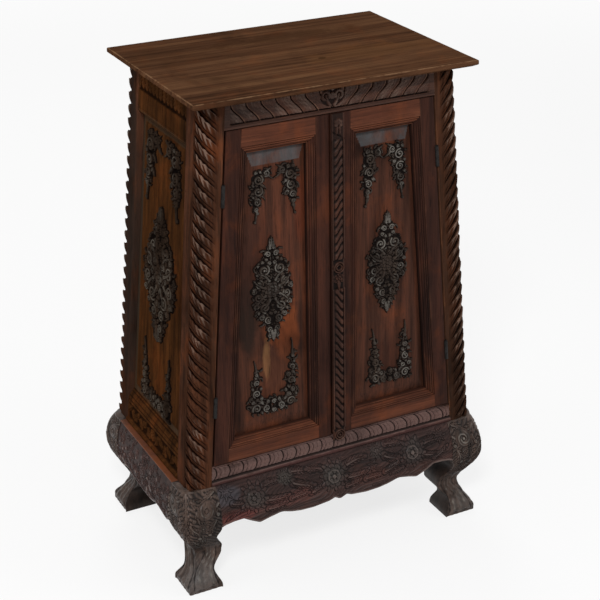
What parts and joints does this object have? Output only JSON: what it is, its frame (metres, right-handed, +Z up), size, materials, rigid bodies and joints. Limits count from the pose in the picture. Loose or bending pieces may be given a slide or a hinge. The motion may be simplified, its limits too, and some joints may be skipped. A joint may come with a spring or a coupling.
{
  "type": "scripture cabinet",
  "caption": "Tapering wooden cabinet with carved corner posts, paired panelled doors on slanted hinges, and a stand with carved aprons and cabriole legs.",
  "frame": {"origin": "on the floor, in the middle of the cabinet's footprint", "axes": "+Z up, -Y out of the doors, +X to the right of someone facing the doors"},
  "size_m": [0.622, 0.39, 0.9],
  "materials": {
    "top_wood": "waxed dark brown with worn edges",
    "post_wood": "stained red brown, dark in the recesses, satin wax",
    "rail_wood": "stained orange brown, satin wax",
    "stile_wood": "stained dark violet brown, satin wax",
    "panel_wood": "stained red brown with dark patches, satin wax",
    "inner_wood": "plain unpolished brown",
    "carved_wood": "carved, near black, waxed",
    "leg_wood": "carved, near black, waxed",
    "apron_wood": "carved, mauve brown, waxed",
    "hinge_iron": "aged, dark, faintly green"
  },
  "bodies": {
    "case": {"top_board": "top_wood", "post_front_left": "post_wood", "post_front_right": "post_wood", "post_back_left": "post_wood", "post_back_right": "post_wood", "frieze_front": "rail_wood", "top_rail_back": "inner_wood", "top_rail_left": "rail_wood", "top_rail_right": "rail_wood", "foot_rail_front": "rail_wood", "foot_rail_back": "inner_wood", "foot_rail_left": "rail_wood", "foot_rail_right": "rail_wood", "side_panel_left": "panel_wood", "side_panel_right": "panel_wood", "back_panel": "inner_wood", "floor_board": "inner_wood", "shelf_lower": "inner_wood", "shelf_upper": "inner_wood", "shelf_cleats": "inner_wood", "door_stop_top": "inner_wood", "door_stop_bottom": "inner_wood", "side_carvings_left": "carved_wood", "side_carvings_right": "carved_wood", "hinge_frame_leaves_left": "hinge_iron", "hinge_pins_left": "hinge_iron", "hinge_frame_leaves_right": "hinge_iron", "hinge_pins_right": "hinge_iron", "leg_front_left": "leg_wood", "leg_front_right": "leg_wood", "leg_back_left": "leg_wood", "leg_back_right": "leg_wood", "apron_front": "apron_wood", "apron_back": "apron_wood", "apron_left": "apron_wood", "apron_right": "apron_wood", "case_dowels": "inner_wood"},
    "left_door": {"door_left_stile_outer": "stile_wood", "door_left_stile_inner": "stile_wood", "door_left_rail_top": "rail_wood", "door_left_rail_bottom": "rail_wood", "door_left_panel": "panel_wood", "door_left_carvings": "carved_wood", "hinge_door_leaves_left": "hinge_iron"},
    "right_door": {"door_right_stile_outer": "stile_wood", "door_right_stile_inner": "stile_wood", "door_right_rail_top": "rail_wood", "door_right_rail_bottom": "rail_wood", "door_right_panel": "panel_wood", "door_right_carvings": "carved_wood", "door_right_astragal": "post_wood", "hinge_door_leaves_right": "hinge_iron"}
  },
  "joints": [
    {"name": "left_door_swing", "type": "hinge", "parent": "case", "child": "left_door", "pos_m": [-0.21684, -0.16001, 0.545], "axis": [-0.0771, -0.0262, -0.9967], "range_deg": [0, 110]},
    {"name": "right_door_swing", "type": "hinge", "parent": "case", "child": "right_door", "pos_m": [0.21684, -0.16001, 0.545], "axis": [-0.0771, 0.0262, 0.9967], "range_deg": [0, 110]}
  ]
}
